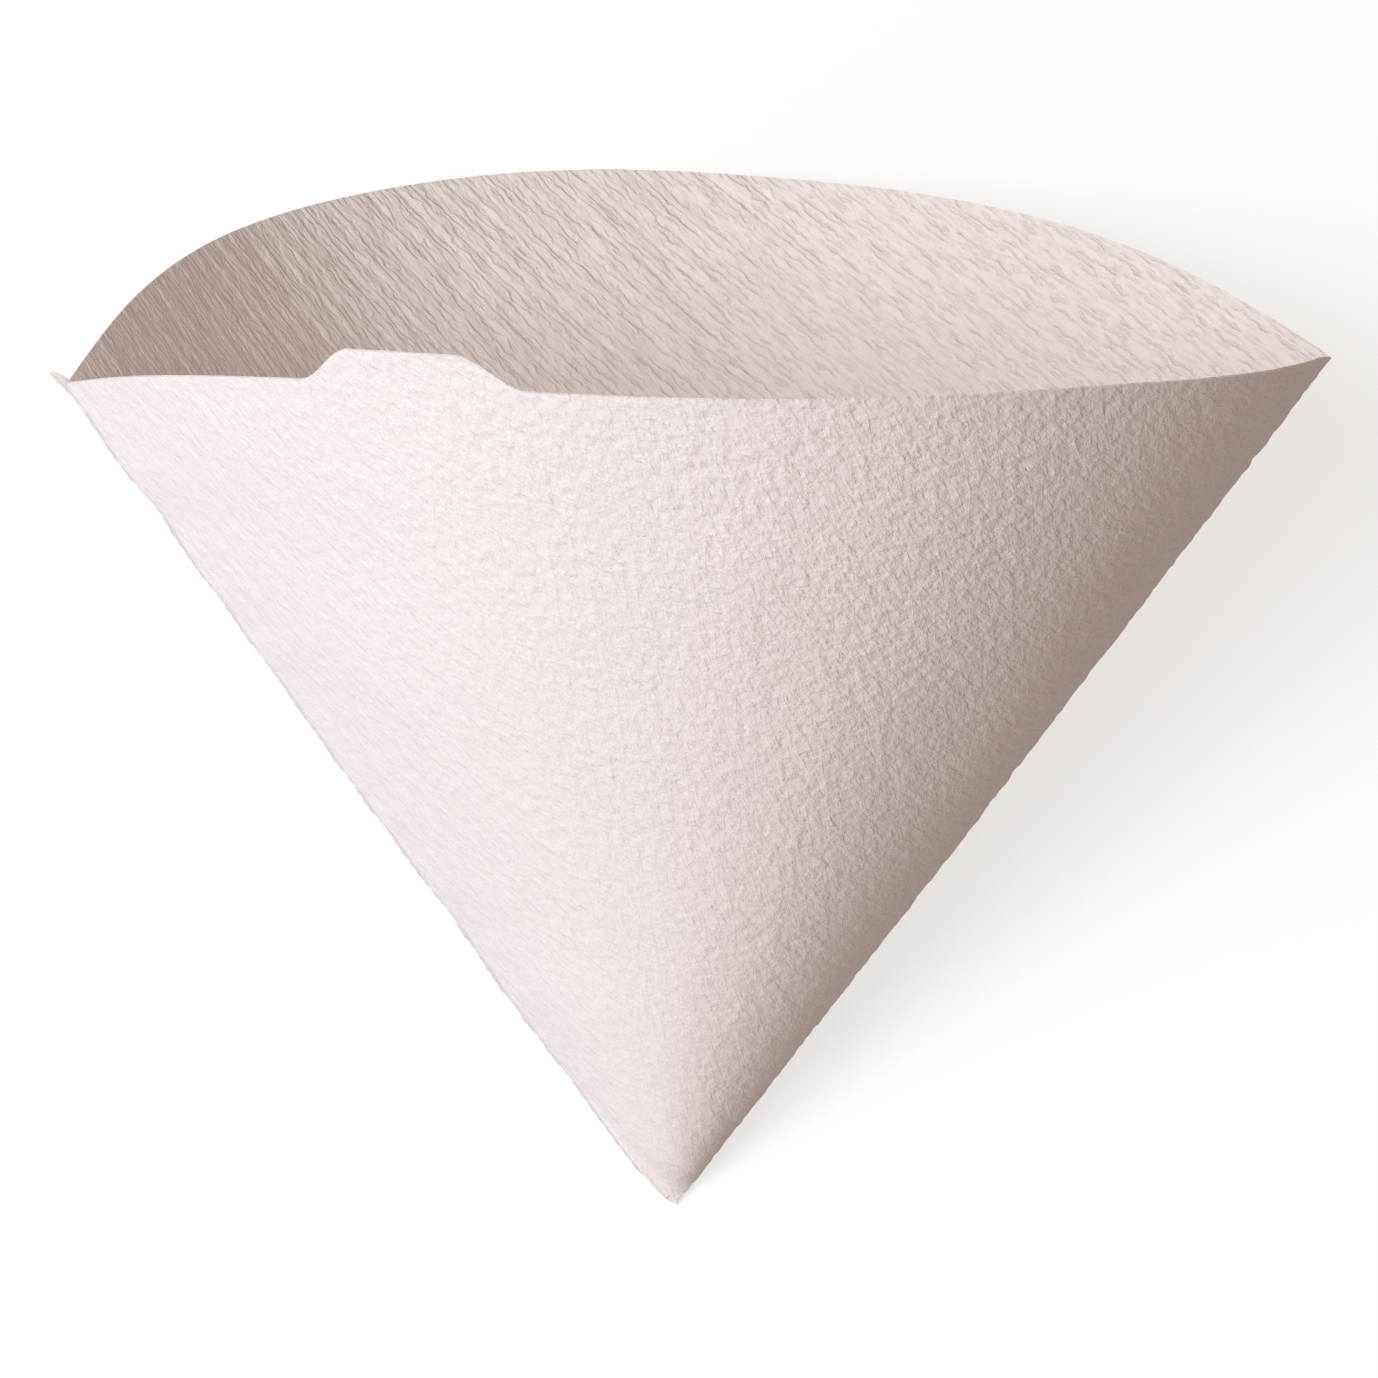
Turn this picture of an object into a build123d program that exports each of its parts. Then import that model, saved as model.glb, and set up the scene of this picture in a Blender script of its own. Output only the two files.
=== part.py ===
from build123d import *
import os
from math import atan2, cos, radians, sin, sqrt, tan

# Cone-shaped paper coffee filter, opened for use: one half-round sheet of crepe paper,
# folded in two along its right edge and crimped shut along its left edge.
# It lies on its back ply. The tip is at the origin, +Y runs from the tip to the mouth,
# +X points to the folded edge, and the front ply, with the lifting tab, is uppermost.

# The sheet, in millimetres
slant_length = 125.0  # tip to rim, the same along every line of the paper
paper = 0.25  # thickness of one ply

# The opened mouth, in degrees
mouth_half_angle = 36.2  # seam or fold to the axis, seen from the front
front_lean = 26.3  # middle of the front ply to the axis
back_lean = 25.6  # middle of the back ply to the axis
front_crease_angle = 52.0  # slope of the front ply where it leaves the seam and the fold
back_crease_angle = 45.2  # slope of the back ply there
rest_flat = 30.0  # width of the back ply that lies flat on the table, at the rim, in millimetres

# The closed point
tip_blunt = 1.1  # paper pressed away at the point
tip_plug = 4.0  # height at which the plies part

# The lifting tab on the front rim
tab_from_seam = 51.7  # seam to the middle of the tab, along the rim
tab_foot_width = 25.0  # between its shoulders, at the rim
tab_top_width = 14.0
tab_height = 5.2
tab_top_radius = 4.5
tab_foot_radius = 5.0
tab_foot_sink = 0.05  # depth at which the rounded foot runs into the rim

# The crimped margin that stands back from the seam, two plies thick
margin_width = 7.2
margin_start = 6.0  # seam length left free at the tip
margin_start_width = 1.5  # width of its lower end
margin_taper_end = 23.0  # seam length at which it has its full width
margin_bulge = 0.35  # how far it bows in towards the back ply
margin_curl_start = 95.0  # seam length from which its free edge curls out
margin_curl = 0.9  # how far that edge stands out at the rim

# Frame of the cone: origin at the tip, x to the fold, y to the back ply, z to the mouth
axis_direction = Vector(0, cos(radians(back_lean)), sin(radians(back_lean)))
cone_plane = Plane(origin=(0, 0, 0), x_dir=(1, 0, 0), z_dir=axis_direction)
reach = slant_length + tab_height  # the walls are made this long, then cut to the rim


class HalfPly:
    """Half of a ply, as directions from the tip: flat off its crease, bent, then flat in its middle.

    Side is -1 for the front ply and 1 for the back ply. End is -1 for the seam and 1 for the fold.
    """

    def __init__(self, side, end, lean_angle, crease_slope, flat_width):
        half_angle = radians(mouth_half_angle)
        slope = radians(crease_slope)
        lean = radians(lean_angle)
        self.crease = Vector(end * sin(half_angle), 0, cos(half_angle))
        across = Vector(-end * cos(slope), side * sin(slope), 0)
        crease_normal = self.crease.cross(across).normalized() * (end * side)
        half_flat = flat_width / 2 / (slant_length * cos(lean))
        self.middle = Vector(end * half_flat, side * tan(lean), 1).normalized()
        middle_normal = Vector(0, -side * cos(lean), sin(lean))
        # A sheet bends about the tip as a cone, which touches both of its flat stretches
        self.bend_angle = atan2(self.middle.dot(crease_normal), 1 - middle_normal.dot(crease_normal))
        self.bend_axis = self.middle * cos(self.bend_angle) + middle_normal * sin(self.bend_angle)
        self.bend_start = (self.bend_axis - crease_normal * sin(self.bend_angle)).normalized()

    def radius_to(self, ray):
        """From the bend's axis out to a direction on the bend."""
        return ray - self.bend_axis * cos(self.bend_angle)


front_seam = HalfPly(-1, -1, front_lean, front_crease_angle, 0)
front_fold = HalfPly(-1, 1, front_lean, front_crease_angle, 0)
back_seam = HalfPly(1, -1, back_lean, back_crease_angle, rest_flat)
back_fold = HalfPly(1, 1, back_lean, back_crease_angle, rest_flat)

# Everything inside the paper's outer face: a pyramid on the flat stretches,
# and a sector of a cone in each bend
with BuildPart() as envelope:
    with BuildSketch(cone_plane.offset(reach)) as flats:
        corners = (
            front_seam.crease,
            front_seam.bend_start,
            front_fold.bend_start,
            front_fold.crease,
            back_fold.bend_start,
            back_fold.middle,
            back_seam.middle,
            back_seam.bend_start,
        )
        with BuildLine():
            Polyline(*((ray.X / ray.Z * reach, ray.Y / ray.Z * reach) for ray in corners), close=True)
        make_face()
    loft(sections=[Vertex(0, 0, 0), flats.sketch.face()], ruled=True)
    bends = (
        (front_seam, front_seam.bend_start, front_fold.bend_start),
        (back_fold, back_fold.bend_start, back_fold.middle),
        (back_seam, back_seam.middle, back_seam.bend_start),
    )
    for half_ply, first, last in bends:
        bend_plane = Plane(
            origin=(0, 0, 0),
            x_dir=cone_plane.from_local_coords(half_ply.radius_to(first)),
            z_dir=cone_plane.from_local_coords(half_ply.bend_axis),
        )
        with Locations(bend_plane):
            Cone(
                bottom_radius=0,
                top_radius=reach * tan(half_ply.bend_angle),
                height=reach,
                arc_size=half_ply.radius_to(first).get_angle(half_ply.radius_to(last)),
                align=None,
            )

# The hollow is the same cone moved up its axis by one thickness, cut off at the closed point
hollow_shift = paper / sin(radians(front_lean))
with BuildPart() as hollow:
    add(envelope.part.moved(Location(axis_direction * hollow_shift)))
    split(bisect_by=cone_plane.offset(tip_plug), keep=Keep.TOP)

with BuildPart() as tall_wall:
    add(envelope.part)
    add(hollow.part, mode=Mode.SUBTRACT)
    split(bisect_by=cone_plane.offset(tip_blunt), keep=Keep.TOP)

# The tab's plane touches the bend of the front ply, with x along the rim and y away from the tip
front_bend = cone_plane.from_local_coords(front_seam.bend_start * slant_length)
front_axis = cone_plane.from_local_coords(front_seam.bend_axis)
seam_radius = front_seam.radius_to(front_seam.bend_start)
fold_radius = front_seam.radius_to(front_fold.bend_start)
front_turn = seam_radius.get_angle(fold_radius)
flat_run = slant_length * radians(front_seam.crease.get_angle(front_seam.bend_start))
bend_run = slant_length * sin(front_seam.bend_angle) * radians(front_turn)
tab_share = (tab_from_seam - flat_run) / bend_run
tab_root = front_bend.rotate(Axis((0, 0, 0), front_axis), front_turn * tab_share)
tab_along = front_axis.cross(tab_root)
tab_plane = Plane(origin=tab_root, x_dir=tab_along, z_dir=tab_along.cross(tab_root))

# A flat sheet cut on a circle about the tip folds to a rim on a sphere about the tip;
# the tab is left standing beyond it
with BuildPart() as edge_cut:
    with BuildSketch(tab_plane) as tab_outline:
        with Locations((0, -slant_length)):
            Circle(slant_length - tab_foot_sink)
        shoulder_run = (tab_foot_width - tab_top_width) / 2
        rim_drop = slant_length - sqrt(slant_length**2 - tab_foot_width**2 / 4)
        shoulder_rise = tab_height + rim_drop
        with BuildLine():
            Polyline(
                (-tab_top_width / 2, tab_height),
                (tab_top_width / 2, tab_height),
                (tab_foot_width / 2 + shoulder_run, tab_height - 2 * shoulder_rise),
                (-tab_foot_width / 2 - shoulder_run, tab_height - 2 * shoulder_rise),
                close=True,
            )
        make_face()
        fillet(tab_outline.vertices().group_by(Axis.Y)[-2], tab_foot_radius)
        fillet(tab_outline.vertices().group_by(Axis.Y)[-1], tab_top_radius)
        Rectangle(tab_foot_width + 2 * tab_foot_radius, 2 * shoulder_rise, mode=Mode.INTERSECT)
    extrude(amount=tab_foot_width / 2, both=True)
    Sphere(slant_length)

# The margin runs along the seam and stands straight back from it
seam_direction = cone_plane.from_local_coords(front_seam.crease)


def margin_section(along, width, curl):
    """The margin across the seam: x runs back from the seam, y stands out from the fold side."""
    seam_plane = Plane(origin=seam_direction * along, x_dir=cone_plane.y_dir, z_dir=seam_direction)
    with BuildSketch(seam_plane) as section:
        with BuildLine():
            root = Vector(0, paper)
            bow = Vector(width / 2, paper - margin_bulge)
            free_edge = Vector(width, paper + curl)
            Bezier(root, bow, free_edge)
            Line(free_edge, free_edge - Vector(0, 2 * paper))
            Bezier(*(point - Vector(0, 2 * paper) for point in (free_edge, bow, root)))
            Line(root - Vector(0, 2 * paper), root)
        make_face()
    return section.sketch.face()


with BuildPart() as filter_cone:
    add(tall_wall.part)
    add(edge_cut.part, mode=Mode.INTERSECT)
    margin_stations = (
        margin_section(margin_start, margin_start_width, 0),
        margin_section(margin_taper_end, margin_width, 0),
        margin_section(margin_curl_start, margin_width, 0),
        margin_section(slant_length, margin_width, margin_curl),
    )
    loft(sections=margin_stations, ruled=True)

os.makedirs("parts", exist_ok=True)
filter_cone.part.label = "filter_cone"
export_step(filter_cone.part, "parts/filter_cone.step")
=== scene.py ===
from bisect import bisect
from math import atan2, cos, exp, hypot, pi, radians, sin, sqrt
import bmesh
import bpy
from mathutils import Matrix, Vector, noise


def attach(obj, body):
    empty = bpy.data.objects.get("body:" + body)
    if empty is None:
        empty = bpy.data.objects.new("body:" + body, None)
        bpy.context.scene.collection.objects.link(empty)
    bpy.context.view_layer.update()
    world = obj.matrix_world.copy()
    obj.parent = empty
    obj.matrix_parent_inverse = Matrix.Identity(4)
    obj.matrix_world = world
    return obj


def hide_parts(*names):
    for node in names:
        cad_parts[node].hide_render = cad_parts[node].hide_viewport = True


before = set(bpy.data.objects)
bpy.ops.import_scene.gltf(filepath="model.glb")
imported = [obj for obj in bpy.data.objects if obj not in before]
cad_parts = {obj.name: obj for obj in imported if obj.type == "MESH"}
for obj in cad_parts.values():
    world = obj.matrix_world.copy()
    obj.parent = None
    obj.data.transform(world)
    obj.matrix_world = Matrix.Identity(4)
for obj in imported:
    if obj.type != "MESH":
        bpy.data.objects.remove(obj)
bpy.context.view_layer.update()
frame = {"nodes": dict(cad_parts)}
print("frame loaded:", ", ".join(frame["nodes"]))

mm = 0.001
hair = 1e-5  # nearer than this counts as touching, in millimetres

# The filter is one half-round sheet: cut flat, folded in two and crimped along one edge.
# On the flat blank u = 0 is the fold and v = 0 the seam; the front ply has u > 0, the margins v < 0.
filterSheet = {
    "name": "filter_sheet",
    "slant": 125.0,  # tip to rim, all lengths in millimetres
    "paper": 0.25,
    "restAngle": 25.6,  # the back ply's steepest line lies on the table, degrees
    "seamAngle": 36.22,  # seam and fold to the axis, seen from the front
    "foldAngle": 35.916,
    "foldSwing": -1.8,  # the fold stands a little to the front of the seam
    "frontLeans": (27.03, -0.66, 8.04, 2.9, 7.35),  # how far each ply stands off the axis
    "backLeans": (26.08, 1.21, 13.27, -6.1, -17.47),
    "plySteps": 720,
    "tipCutSeam": 3.7,  # the point is pressed away on a slant
    "tipCutFold": 1.15,
    "tipArea": 14.8,  # only faces this near to the point are cut
    "cutSnap": 0.001,
    "tipPinch": 5.5,  # nearer to that cut the plies come together
    "tipClosed": 0.6,
    "foldReach": 0.6,  # the folded corner of the rim stands out a little
    "foldBulge": 0.68,
    "foldBulgeFrom": 50.0,
    "foldSpread": 14.0,
    "tabCentre": 51.7,  # from the seam, along the rim
    "tabTop": (6.4, 6.0),  # half widths, seam side and fold side
    "tabFoot": (14.2, 13.4),
    "tabHeight": 4.5,
    "rimTries": 14,
    "rimEnd": 0.01,  # the last row stops this short of the rim
    "marginWidth": 7.2,
    "marginStart": 6.0,
    "marginStartWidth": 1.5,
    "marginTaperEnd": 23.0,
    "marginRoot": 0.43,  # the crease is rounded by this much
    "marginRootReach": 3.0,
    "backRoot": (0.044, 0.45),  # the back ply follows it, across and backwards
    "backRootReach": 2.0,
    "marginBow": 0.35,
    "curlStart": 121.0,
    "curl": 0.6,
    "crimpPitch": 1.6,
    "crimpDepth": 0.07,
    "crimpRise": (0.05, 0.25),  # shares of the margin's width
    "rows": 350,  # rows follow the crepe, columns cross it
    "marginRows": 6,
    "columns": 128,
    "crimpCuts": 3,
    # layers of unevenness: size, length along the crepe, pitch across it, seed
    "sway": ((0.55, 9.0, 7.0, 3.1), (0.22, 3.4, 3.0, 7.9)),
    "crepe": ((1.0, 1.6, 0.95, 11.7), (0.35, 6.0, 1.5, 27.3)),
    "crepePatch": ((0.5, 16.0, 13.0, 41.9),),
    "crepeLevel": 0.85,
    "crepeHeight": 0.18,
    "crepeRise": 1.2,
    "ridges": ((1.0, 2.6, 1.0, 51.3), (0.3, 9.0, 1.5, 63.1)),  # the inner face has longer, deeper ones
    "ridgeSway": 2.0,
    "ridgeHeight": (0.22, 0.46),  # at the seam and at the fold
    "ridgeRise": (4.0, 3.0),  # away from the seam and the fold
    "cutRelief": 0.2,  # share of the relief that is left at the cut rim
    "cutReach": 2.5,
    "cockle": 0.35,  # broad unevenness of the plies
    "cockleLength": 22.0,
    "cockleSeed": 60.0,
    "cockleRise": 14.0,
    "cockleTip": 40.0,
    "seamWave": (0.42, 176.62),  # size and seed
    "seamWaveReach": 6.0,
    "foldWave": (0.15, 8.5),
    "waves": ((1.0, 8.0, 0.5), (0.5, 8.0 / 2.7, 4.5)),  # share, length, seed
    "waveStart": 20.0,
    "weld": 0.01,
    "sharpAngle": 38.0,
    "mapSpan": 270.0,  # the flat map covers a square of this size
    "mapOrigin": (0.5, 0.25),
}


def makePly(sheet, side, leans):
    # directions from the tip across one opened ply, seam to fold, with the paper's angle at each
    rays, angles, normals = [], [0.0], []
    for step in range(sheet["plySteps"] + 1):
        share = 2 * step / sheet["plySteps"] - 1
        turn = radians(sheet["foldAngle"] * (1 + share) - sheet["seamAngle"] * (1 - share)) / 2
        lean = radians((1 - share * share) * sum(size * share ** power for power, size in enumerate(leans)))
        lean += side * radians(sheet["foldSwing"]) * ((1 + share) / 2) ** 2
        rays.append(Vector((sin(turn), side * cos(turn) * sin(lean), cos(turn) * cos(lean))))
        if step:
            angles.append(angles[-1] + rays[-1].angle(rays[-2]))
    for step, ray in enumerate(rays):
        along = rays[min(step + 1, sheet["plySteps"])] - rays[max(step - 1, 0)]
        normals.append(ray.cross(along).normalized() * -side)
    return {"rays": rays, "angles": angles, "normals": normals, "run": angles[-1], "tabbed": side < 0}


def rayOnPly(ply, angle):
    # direction from the tip and inward normal, angle measured in the paper from the seam
    step = min(bisect(ply["angles"], angle), len(ply["angles"]) - 1) - 1
    share = (angle - ply["angles"][step]) / (ply["angles"][step + 1] - ply["angles"][step])
    ends = ((ply[key][step], ply[key][step + 1]) for key in ("rays", "normals"))
    ray, normal = (first.lerp(second, share).normalized() for first, second in ends)
    return ray, normal


def easeStep(low, high, value):
    share = min(max((value - low) / (high - low), 0.0), 1.0)
    return share * share * (3 - 2 * share)


def angleFromSeam(ply, u, v):
    # the flat quarter sheet turns into the ply's own spread
    return atan2(v, abs(u)) / (pi / 2) * ply["run"]


def rimRadius(sheet, ply, u, v):
    # from the tip to the cut edge, tab included
    if not ply["tabbed"]:
        return sheet["slant"]
    fromTab = angleFromSeam(ply, u, v) * sheet["slant"] - sheet["tabCentre"]
    side = 0 if fromTab < 0 else 1
    raised = easeStep(sheet["tabFoot"][side], sheet["tabTop"][side], abs(fromTab))
    return sheet["slant"] + sheet["tabHeight"] * raised


def rimAt(sheet, ply, row):
    # distance out along a row to the cut edge
    out = sqrt(sheet["slant"] ** 2 - row * row)
    for attempt in range(sheet["rimTries"]):
        out = sqrt(rimRadius(sheet, ply, out, row) ** 2 - row * row)
    return out


def layered(layers, u, v):
    return sum(
        size * noise.noise(Vector((u / length, v / pitch, seed))) for size, length, pitch, seed in layers)


def crepeRelief(sheet, u, v):
    # shared by both faces: short swellings, drawn out a little along the crepe
    across = v + layered(sheet["sway"], u, v)
    patch = sheet["crepeLevel"] + layered(sheet["crepePatch"], u, v)
    return sheet["crepeHeight"] * patch * layered(sheet["crepe"], u, across)


def innerRidges(sheet, u, v):
    across = v + sheet["ridgeSway"] * layered(sheet["sway"], u, v)
    seamHeight, foldHeight = sheet["ridgeHeight"]
    height = seamHeight + (foldHeight - seamHeight) * v / sheet["slant"]
    fromSeam, fromFold = sheet["ridgeRise"]
    height *= easeStep(0, fromSeam, v) * easeStep(0, fromFold, abs(u))
    return height * layered(sheet["ridges"], u, across)


def reliefShare(sheet, ply, u, v):
    # the relief is pressed flatter where the rim was cut
    toRim = rimRadius(sheet, ply, u, v) - hypot(u, v)
    return sheet["cutRelief"] + (1 - sheet["cutRelief"]) * easeStep(0, sheet["cutReach"], toRim)


def edgeWave(sheet, edge, along):
    size, seed = sheet[edge]
    wave = sum(
        share * noise.noise(Vector((along / length, seed, level))) for share, length, level in sheet["waves"])
    return size * wave * min(along / sheet["waveStart"], 1)


def cutBlank(sheet, front, back):
    allRows = sheet["rows"] + sheet["marginRows"]
    bm = bmesh.new()
    bmesh.ops.create_grid(bm, x_segments=sheet["columns"], y_segments=allRows, size=1)
    for vert in bm.verts:
        step = round((vert.co.y + 1) / 2 * allRows) - sheet["marginRows"]
        if step < 0:
            row = step / sheet["marginRows"] * sheet["marginWidth"]
            reach = sheet["slant"]
        else:
            row = min(step / sheet["rows"] * sheet["slant"], sheet["slant"] - sheet["rimEnd"])
            reach = rimAt(sheet, front if vert.co.x > 0 else back, row)
        vert.co = (vert.co.x * reach, row, 0)
    middles = {face: face.calc_center_median() for face in bm.faces}
    notch = [face for face, at in middles.items() if at.y < 0 and abs(at.x) < sheet["marginStart"]]
    bmesh.ops.delete(bm, geom=notch, context="FACES")
    for side in (-1, 1):  # the slanted cut at the point, on each ply
        middles = {face: face.calc_center_median() for face in bm.faces}
        near = [face for face, at in middles.items()
                if 0 < side * at.x < sheet["tipArea"] and 0 < at.y < sheet["tipArea"]]
        edges = dict.fromkeys(edge for face in near for edge in face.edges)
        verts = dict.fromkeys(vert for face in near for vert in face.verts)
        bmesh.ops.bisect_plane(
            bm, geom=near + list(edges) + list(verts), dist=sheet["cutSnap"], clear_inner=True,
            plane_co=(0, sheet["tipCutFold"], 0),
            plane_no=(side * sheet["tipCutFold"], sheet["tipCutSeam"], 0))
    crimped = [edge for edge in bm.edges if max(end.co.y for end in edge.verts) < -hair
               and abs(edge.verts[0].co.y - edge.verts[1].co.y) < hair]
    bmesh.ops.subdivide_edges(bm, edges=crimped, cuts=sheet["crimpCuts"], use_grid_fill=True)
    flatMap = bm.loops.layers.uv.new("flatBlank")
    for face in bm.faces:
        for loop in face.loops:
            loop[flatMap].uv = loop.vert.co.xy / sheet["mapSpan"] + Vector(sheet["mapOrigin"])
    return bm


def foldMargin(sheet, seamRay, u, v):
    # the crimped margin stands back from the seam, the front ply's outermost
    along, half = abs(u), sheet["paper"] / 2
    backwards = Vector((0, 1, 0))
    outwards = seamRay.cross(backwards)
    taper = (along - sheet["marginStart"]) / (sheet["marginTaperEnd"] - sheet["marginStart"])
    width = sheet["marginStartWidth"]
    width += (sheet["marginWidth"] - width) * min(max(taper, 0), 1)
    share = -v / sheet["marginWidth"]
    curl = sheet["curl"] * easeStep(sheet["curlStart"], sheet["slant"], along)
    stand = share * share * curl - 2 * share * (1 - share) * sheet["marginBow"]
    crimp = sheet["crimpDepth"] * sin(2 * pi * along / sheet["crimpPitch"])
    stand += crimp * easeStep(*sheet["crimpRise"], share)
    stand += edgeWave(sheet, "seamWave", along) + (half if u > 0 else -half)
    back = sheet["marginRoot"] + (width - sheet["marginRoot"]) * share
    return seamRay * along + backwards * back + outwards * stand


def foldPly(sheet, ply, seamRay, foldNormal, u, v):
    along, half = abs(u), sheet["paper"] / 2
    r = hypot(u, v)
    nearFold = exp(-along / sheet["foldSpread"])
    r += sheet["foldReach"] * r / sheet["slant"] * nearFold
    ray, normal = rayOnPly(ply, angleFromSeam(ply, u, v))
    if along < hair:
        normal = foldNormal
    relief = crepeRelief(sheet, u, v) * reliefShare(sheet, ply, u, v) * easeStep(0, sheet["crepeRise"], v)
    broad = sheet["cockle"] * noise.noise(Vector((u, v, sheet["cockleSeed"])) / sheet["cockleLength"])
    broad *= easeStep(0, sheet["cockleRise"], v) * easeStep(0, sheet["cockleRise"], along)
    broad *= min(r / sheet["cockleTip"], 1)
    place = ray * r + normal * (half + relief + broad)
    across = (ply["rays"][1] - ply["rays"][0]).normalized()
    backwards = Vector((0, 1, 0))
    crimped = easeStep(0, sheet["marginTaperEnd"], along)
    if u > 0:  # past the seam line the front ply runs on into the margin
        place -= across * (sheet["marginRoot"] * crimped * exp(-v / sheet["marginRootReach"]))
    elif u < 0:
        rootAcross, rootBack = sheet["backRoot"]
        root = across * rootAcross + backwards * rootBack
        place += root * (crimped * exp(-v / sheet["backRootReach"]))
    seamWave = edgeWave(sheet, "seamWave", along) * exp(-v / sheet["seamWaveReach"])
    place += seamRay.cross(backwards) * seamWave
    bulge = edgeWave(sheet, "foldWave", v) + sheet["foldBulge"] * min(v / sheet["foldBulgeFrom"], 1)
    place -= foldNormal.normalized() * (bulge * nearFold)
    seamCut, foldCut = sheet["tipCutSeam"], sheet["tipCutFold"]
    fromCut = (along * foldCut + v * seamCut - seamCut * foldCut) / hypot(seamCut, foldCut)
    pinch = easeStep(sheet["tipClosed"], sheet["tipPinch"], fromCut)
    pressed = half * ((u < 0) - (u > 0))
    place.y = pressed + (place.y - pressed) * pinch
    return place


def thicken(sheet, piece):
    # the sheet's own vertices and faces become the inner face, its copies the outer one
    thickness = piece.modifiers.new("thickness", "SOLIDIFY")
    thickness.thickness = sheet["paper"] * mm
    thickness.offset = 0
    thickness.use_even_offset = False
    thickness.use_quality_normals = True
    depsgraph = bpy.context.evaluated_depsgraph_get()
    thick = bpy.data.meshes.new_from_object(piece.evaluated_get(depsgraph))
    piece.modifiers.clear()
    count, faceCount = len(piece.data.vertices), len(piece.data.polygons)
    piece.data = thick
    thick.name = sheet["name"]
    heights = thick.attributes["ridge"].data
    for inner, outer, height in zip(thick.vertices[:count], thick.vertices[count:], heights):
        inner.co += (inner.co - outer.co).normalized() * height.value
    cutCount = len(thick.polygons) - 2 * faceCount
    inside = thick.attributes.new("inside", "FLOAT", "FACE")
    inside.data.foreach_set("value", [1.0] * faceCount + [0.0] * faceCount + [0.5] * cutCount)


def makeFilter(sheet):
    front = makePly(sheet, -1, sheet["frontLeans"])
    back = makePly(sheet, 1, sheet["backLeans"])
    seamRay = front["rays"][0]
    foldNormal = front["normals"][-1] + back["normals"][-1]
    foldNormal /= 1 + front["normals"][-1].dot(back["normals"][-1])
    bm = cutBlank(sheet, front, back)
    flatArea = sum(face.calc_area() for face in bm.faces) * mm * mm
    print("blank cut:", len(bm.faces), "faces,", round(flatArea, 5), "square metres")
    lean, half = radians(sheet["restAngle"]), sheet["paper"] / 2
    lieDown = Matrix(((1, 0, 0), (0, sin(lean), cos(lean)), (0, -cos(lean), sin(lean))))
    ridge = bm.verts.layers.float.new("ridge")
    for vert in bm.verts:
        u, v = vert.co.xy
        if v < 0:
            place = foldMargin(sheet, seamRay, u, v)
        else:
            ply = front if u >= 0 else back
            place = foldPly(sheet, ply, seamRay, foldNormal, u, v)
            vert[ridge] = innerRidges(sheet, u, v) * reliefShare(sheet, ply, u, v) * mm
        lying = lieDown @ place
        lying.z = max(lying.z, half)  # nothing goes through the table
        vert.co = lying * mm
    bmesh.ops.remove_doubles(bm, verts=bm.verts, dist=sheet["weld"] * mm)
    mesh = bpy.data.meshes.new(sheet["name"])
    bm.to_mesh(mesh)
    bm.free()
    piece = bpy.data.objects.new(sheet["name"], mesh)
    bpy.context.collection.objects.link(piece)
    thicken(sheet, piece)
    piece.data.polygons.foreach_set("use_smooth", [True] * len(piece.data.polygons))
    piece.data.set_sharp_from_angle(angle=radians(sheet["sharpAngle"]))
    piece.data.calc_loop_triangles()
    print("folded:", len(piece.data.loop_triangles), "triangles")
    return piece


# Each pattern is a pitch in millimetres, its width over its length, and a height in millimetres.
crepePaper = {
    # crest is the paper's own colour; valley is painted shade for the crepe's grooves, low ridges and pimple
    # hollows
    "crest": (0.93, 0.865, 0.858, 1),
    "valleyShade": (0.815, 0.748, 0.737, 1),
    "roughness": 0.92,
    "roughnessSpread": 0.05,
    "roughnessSpan": (0.3, 0.7),
    "specular": 0.18,
    "groove": (0.90, 0.50, 0.105),
    "grooveOutside": 0.42,  # share of the grooves that shows on the outer face
    "grooveWander": 7.0,
    "grooveDetail": (3.0, 2.5, 0.6),  # detail, its scale and its roughness
    "grooveWidth": 0.75,
    "patchPitch": 1.35,  # grooves fade in and out in patches
    "patchSpread": (0.36, 0.58),
    "patchFaint": 0.25,
    "pimple": (1.00, 0.60, 0.370),
    "pimpleInside": 0.78,  # share of the pimples that shows on the inner face
    "wrinkle": (1.30, 0.12, 0.018),  # fine crossing lines on the outer face
    "wrinkleTurn": 24.0,
    "wrinkleWidth": 0.05,
    "fibre": (0.22, 0.70, 0.034),
    "seamShare": 0.5,
    "seamReach": 70.0,  # this far from the seam the crepe reaches its full depth
    "ridgeSpread": (-0.10, 0.03),  # heights, in millimetres, at which the painted valley shade turns
    "ridgeShading": 0.3,
    "grooveShading": (1.0, 0.0),  # crest colour on the crest, painted valley shade in the groove
    "pimpleSpread": (0.25, 0.75),
    "pimpleHollowShade": 0.65,  # painted shade in their hollows
}


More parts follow.
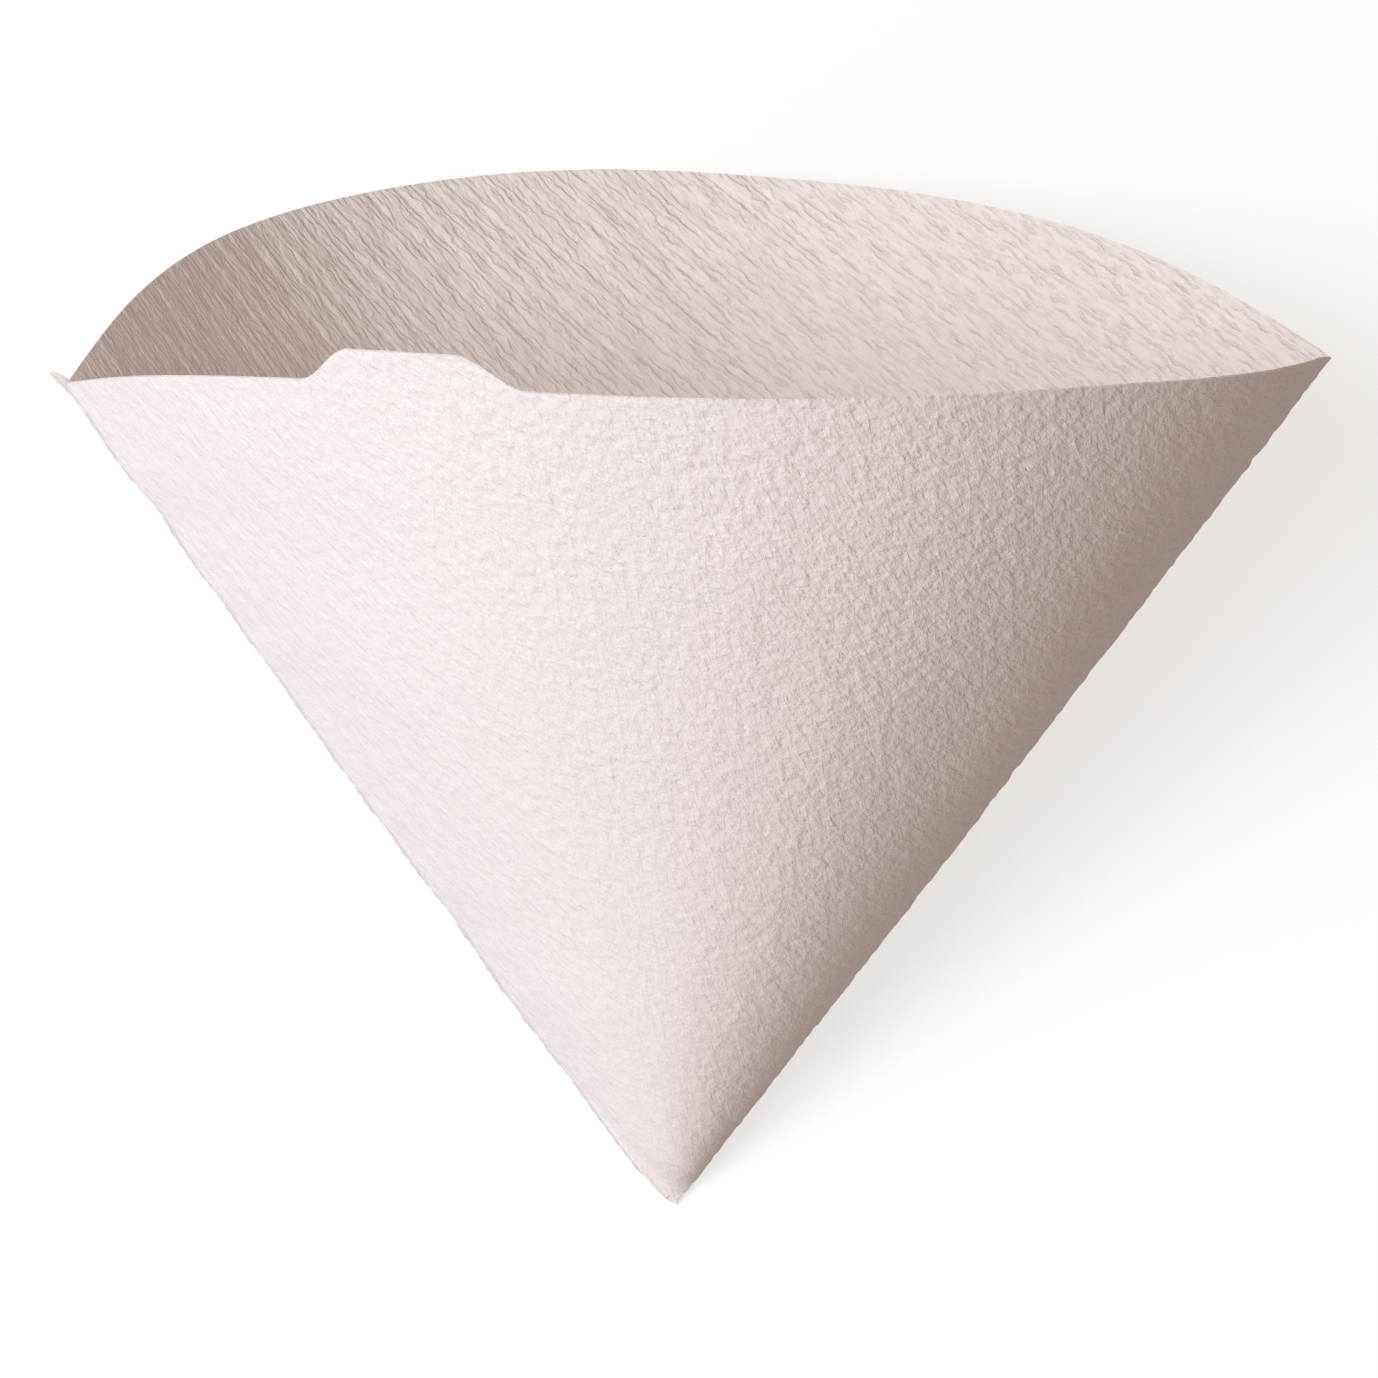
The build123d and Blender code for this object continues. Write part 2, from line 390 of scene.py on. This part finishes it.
def makeCrepePaper(paper, sheet):
    material = bpy.data.materials.new("crepe_paper")
    material.use_nodes = True
    nodes, links = material.node_tree.nodes, material.node_tree.links
    shader = nodes["Principled BSDF"]
    shader.inputs["Specular IOR Level"].default_value = paper["specular"]
    span = sheet["mapSpan"]
    flat = nodes.new("ShaderNodeUVMap")
    flat.uv_map = "flatBlank"
    face = nodes.new("ShaderNodeAttribute")
    face.attribute_name = "inside"
    ridge = nodes.new("ShaderNodeAttribute")
    ridge.attribute_name = "ridge"

    def onBlank(kind, pitch, stretch, turn=0.0):
        # a pattern on the flat blank, drawn out along the crepe
        spread = nodes.new("ShaderNodeMapping")
        spread.vector_type = "TEXTURE"
        spread.inputs["Rotation"].default_value[2] = radians(turn)
        spread.inputs["Scale"].default_value = (pitch / span / stretch, pitch / span, 1)
        links.new(flat.outputs["UV"], spread.inputs["Vector"])
        pattern = nodes.new(kind)
        pattern.inputs["Scale"].default_value = 1
        links.new(spread.outputs["Vector"], pattern.inputs["Vector"])
        return pattern

    def grain(pitch, stretch, turn=0.0, detail=2.0):
        pattern = onBlank("ShaderNodeTexNoise", pitch, stretch, turn)
        pattern.inputs["Detail"].default_value = detail
        return pattern.outputs["Fac"]

    def folds(pitch, stretch):
        # wavering bands along the crepe; the wave texture has 10 / pi of them to a unit
        pattern = onBlank("ShaderNodeTexWave", pitch * 10 / pi, stretch)
        pattern.bands_direction = "Y"
        pattern.inputs["Distortion"].default_value = paper["grooveWander"]
        names = ("Detail", "Detail Scale", "Detail Roughness")
        for name, value in zip(names, paper["grooveDetail"]):
            pattern.inputs[name].default_value = value
        return pattern.outputs["Fac"]

    def combine(operation, first, second):
        node = nodes.new("ShaderNodeMath")
        node.operation = operation
        for socket, value in zip(node.inputs, (first, second)):
            if isinstance(value, float):
                socket.default_value = value
            else:
                links.new(value, socket)
        return node.outputs["Value"]

    def spreadTo(value, low, high, toLow, toHigh, smooth=False):
        node = nodes.new("ShaderNodeMapRange")
        node.interpolation_type = "SMOOTHSTEP" if smooth else "LINEAR"
        node.inputs["From Min"].default_value = low
        node.inputs["From Max"].default_value = high
        node.inputs["To Min"].default_value = toLow
        node.inputs["To Max"].default_value = toHigh
        links.new(value, node.inputs["Value"])
        return node.outputs["Result"]

    def eachFace(outer, inner):
        node = nodes.new("ShaderNodeMix")
        links.new(face.outputs["Fac"], node.inputs["Factor"])
        links.new(outer, node.inputs["A"])
        links.new(inner, node.inputs["B"])
        return node.outputs["Result"]

    place = nodes.new("ShaderNodeSeparateXYZ")
    links.new(flat.outputs["UV"], place.inputs["Vector"])
    seamLine = sheet["mapOrigin"][1]
    fullDepth = seamLine + paper["seamReach"] / span
    seamSide = spreadTo(place.outputs["Y"], seamLine, fullDepth, paper["seamShare"], 1)

    pitch, stretch, depth = paper["groove"]
    patches = spreadTo(grain(paper["patchPitch"], stretch), *paper["patchSpread"], paper["patchFaint"], 1)
    grooves = spreadTo(folds(pitch, stretch), 0, paper["grooveWidth"], 1, 0, smooth=True)
    grooves = combine("MULTIPLY", combine("MULTIPLY", grooves, patches), seamSide)
    inner = combine("MULTIPLY", grooves, -depth)
    outer = combine("MULTIPLY", grooves, -depth * paper["grooveOutside"])
    pitch, stretch, depth = paper["pimple"]
    pimples = grain(pitch, stretch)
    inner = combine("ADD", inner, combine("MULTIPLY", pimples, depth * paper["pimpleInside"]))
    swellings = combine("MULTIPLY", combine("MULTIPLY", pimples, depth), seamSide)
    outer = combine("ADD", outer, swellings)
    pitch, stretch, depth = paper["wrinkle"]
    for turn in (-paper["wrinkleTurn"], paper["wrinkleTurn"]):
        line = combine("SUBTRACT", grain(pitch, stretch, turn, detail=1.0), 0.5)
        line = combine("ABSOLUTE", line, 0.0)
        outer = combine("ADD", outer, spreadTo(line, 0, paper["wrinkleWidth"], depth, 0, smooth=True))
    pitch, stretch, depth = paper["fibre"]
    fibres = grain(pitch, stretch, detail=3.0)
    height = combine("ADD", eachFace(outer, inner), combine("MULTIPLY", fibres, depth))
    bump = nodes.new("ShaderNodeBump")
    bump.inputs["Strength"].default_value = 1
    bump.inputs["Distance"].default_value = mm
    links.new(height, bump.inputs["Height"])
    links.new(bump.outputs["Normal"], shader.inputs["Normal"])

    # painted shade: the colour darkens from crest to valley in grooves, low ridges and pimple hollows, where
    # light would be shaded
    shadeMix = nodes.new("ShaderNodeMix")
    shadeMix.data_type = "RGBA"
    shadeMix.inputs["A"].default_value = paper["valleyShade"]
    shadeMix.inputs["B"].default_value = paper["crest"]
    low, high = paper["ridgeSpread"]
    innerShading = spreadTo(ridge.outputs["Fac"], low * mm, high * mm, 0, paper["ridgeShading"])
    innerShading = combine("ADD", innerShading, spreadTo(grooves, 0, 1, *paper["grooveShading"]))
    outerShading = spreadTo(pimples, *paper["pimpleSpread"], paper["pimpleHollowShade"], 1)
    links.new(eachFace(outerShading, innerShading), shadeMix.inputs["Factor"])
    links.new(shadeMix.outputs["Result"], shader.inputs["Base Color"])
    low, high = (paper["roughness"] + side * paper["roughnessSpread"] for side in (-1, 1))
    links.new(spreadTo(pimples, *paper["roughnessSpan"], low, high), shader.inputs["Roughness"])
    return material


filterPiece = makeFilter(filterSheet)
filterPiece.data.materials.clear()
filterPiece.data.materials.append(makeCrepePaper(crepePaper, filterSheet))
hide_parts("filter_cone")
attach(filterPiece, "root")
print("filter folded and dressed")


studio = {
    "floorSize": 6.0,
    "floorColour": (0.45, 0.46, 0.47, 1),
    "floorGlow": 0.65,
    "fillColour": (1.0, 0.79, 0.63, 1),
    "fillLevel": 0.345,
    "lampAim": (0, 0.06, 0.045),
    "lampDistance": 1.3,
    "lampSize": 0.7,
    "lamps": {  # name: watts, bearing and height in degrees, colour
        "key": (12.1, 180.0, 48.0, (0.925, 0.968, 1.0)),
        "side": (4.9, 210.0, 30.0, (0.82, 0.87, 1.0)),
    },
    "lens": 222.06,
    "sensor": 36.0,
    "cameraPlace": (-0.25709, -0.10552, 0.95403),
    "cameraRight": (0.964226, -0.077661, 0.253452),
    "cameraUp": (0.031543, 0.982943, 0.181186),
}
white = (1, 1, 1, 1)


def seenDirectly(nodes, links):
    # 1 for what the camera sees, straight or in gloss and glass
    path = nodes.new("ShaderNodeLightPath")
    total = path.outputs["Is Camera Ray"]
    for name in ("Is Glossy Ray", "Is Transmission Ray"):
        add = nodes.new("ShaderNodeMath")
        add.operation = "ADD"
        add.use_clamp = True
        links.new(total, add.inputs[0])
        links.new(path.outputs[name], add.inputs[1])
        total = add.outputs["Value"]
    return total


def makeFloor(studio):
    bm = bmesh.new()
    bmesh.ops.create_grid(bm, x_segments=1, y_segments=1, size=studio["floorSize"] / 2)
    mesh = bpy.data.meshes.new("floor")
    bm.to_mesh(mesh)
    bm.free()
    floor = bpy.data.objects.new("floor", mesh)
    bpy.context.collection.objects.link(floor)
    material = bpy.data.materials.new("pale_floor")
    material.use_nodes = True
    nodes, links = material.node_tree.nodes, material.node_tree.links
    shader = nodes["Principled BSDF"]
    shader.inputs["Base Color"].default_value = studio["floorColour"]
    shader.inputs["Roughness"].default_value = 1
    shader.inputs["Specular IOR Level"].default_value = 0
    shader.inputs["Emission Color"].default_value = white
    glow = nodes.new("ShaderNodeMath")
    glow.operation = "MULTIPLY"
    glow.inputs[1].default_value = studio["floorGlow"]
    links.new(seenDirectly(nodes, links), glow.inputs[0])
    links.new(glow.outputs["Value"], shader.inputs["Emission Strength"])
    mesh.materials.append(material)


def makeLights(studio):
    world = bpy.data.worlds.new("studio")
    bpy.context.scene.world = world
    world.use_nodes = True
    nodes, links = world.node_tree.nodes, world.node_tree.links
    background = nodes["Background"]
    seen = seenDirectly(nodes, links)
    colour = nodes.new("ShaderNodeMix")
    colour.data_type = "RGBA"
    colour.inputs["A"].default_value = studio["fillColour"]
    colour.inputs["B"].default_value = white
    links.new(seen, colour.inputs["Factor"])
    links.new(colour.outputs["Result"], background.inputs["Color"])
    level = nodes.new("ShaderNodeMapRange")
    level.inputs["To Min"].default_value = studio["fillLevel"]
    level.inputs["To Max"].default_value = 1
    links.new(seen, level.inputs["Value"])
    links.new(level.outputs["Result"], background.inputs["Strength"])

    for name, (watts, bearing, height, tint) in studio["lamps"].items():
        lamp = bpy.data.lights.new(name, "AREA")
        lamp.energy = watts
        lamp.color = tint
        lamp.size = studio["lampSize"]
        holder = bpy.data.objects.new(name, lamp)
        bearing, height = radians(bearing), radians(height)
        outwards = Vector((cos(bearing) * cos(height), sin(bearing) * cos(height), sin(height)))
        holder.location = Vector(studio["lampAim"]) + outwards * studio["lampDistance"]
        holder.rotation_euler = outwards.to_track_quat("Z", "Y").to_euler()
        bpy.context.collection.objects.link(holder)


def makeCamera(studio):
    camera = bpy.data.cameras.new("camera")
    camera.lens = studio["lens"]
    camera.sensor_width = studio["sensor"]
    holder = bpy.data.objects.new("camera", camera)
    right, up = Vector(studio["cameraRight"]), Vector(studio["cameraUp"])
    turned = Matrix((right, up, right.cross(up))).transposed().to_4x4()
    holder.matrix_world = Matrix.Translation(studio["cameraPlace"]) @ turned
    bpy.context.collection.objects.link(holder)
    bpy.context.scene.camera = holder


makeFloor(studio)
makeLights(studio)
makeCamera(studio)
bpy.context.scene.view_settings.view_transform = "Standard"
print("studio set")
